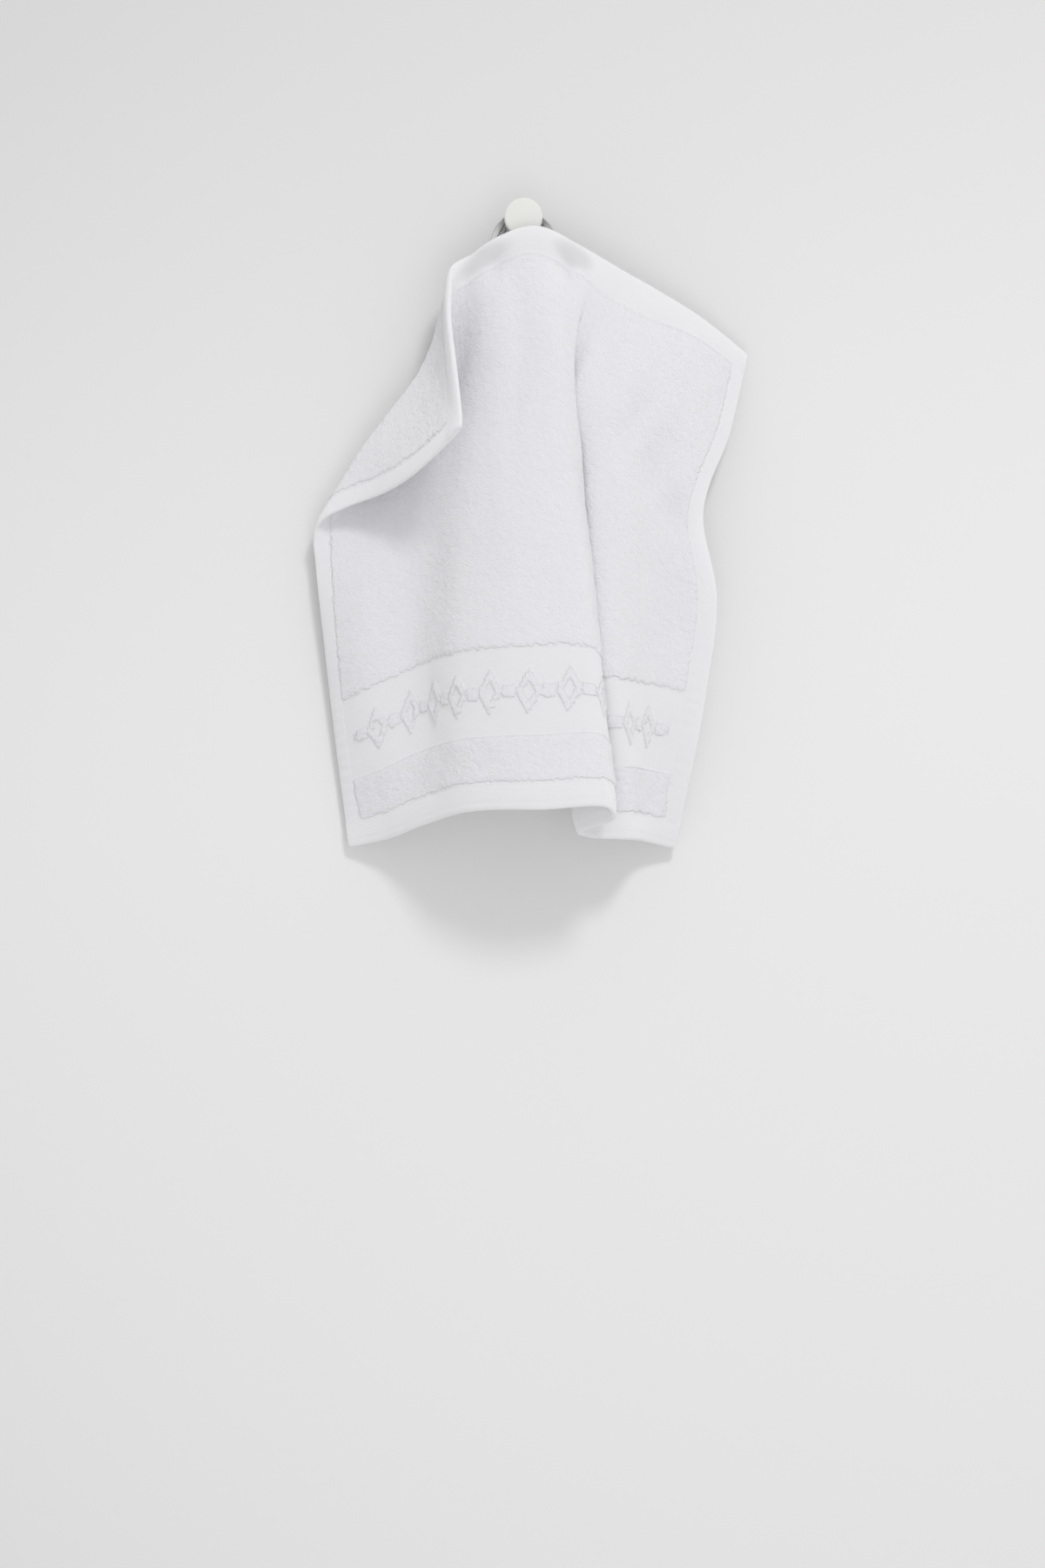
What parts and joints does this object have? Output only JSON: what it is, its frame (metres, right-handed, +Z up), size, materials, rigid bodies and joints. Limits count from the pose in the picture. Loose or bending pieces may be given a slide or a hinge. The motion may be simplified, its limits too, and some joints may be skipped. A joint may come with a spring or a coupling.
{
  "type": "washcloth on a wall knob",
  "caption": "Terry washcloth with hemmed edges and a woven border, hanging in soft folds by its tape loop from a round wall knob.",
  "frame": {"origin": "centre of the knob's flat back face, on the wall plane", "axes": "+Y into the wall, +Z up, +X to the right as seen from the front"},
  "size_m": [0.2479, 0.1057, 0.3675],
  "materials": {
    "terry": "matte white cotton terry",
    "tape": "flat white woven tape",
    "knob": "satin off-white paint"
  },
  "bodies": {
    "root": {"washcloth": "terry", "hanging_loop": "tape", "wall_knob": "knob"}
  },
  "joints": []
}
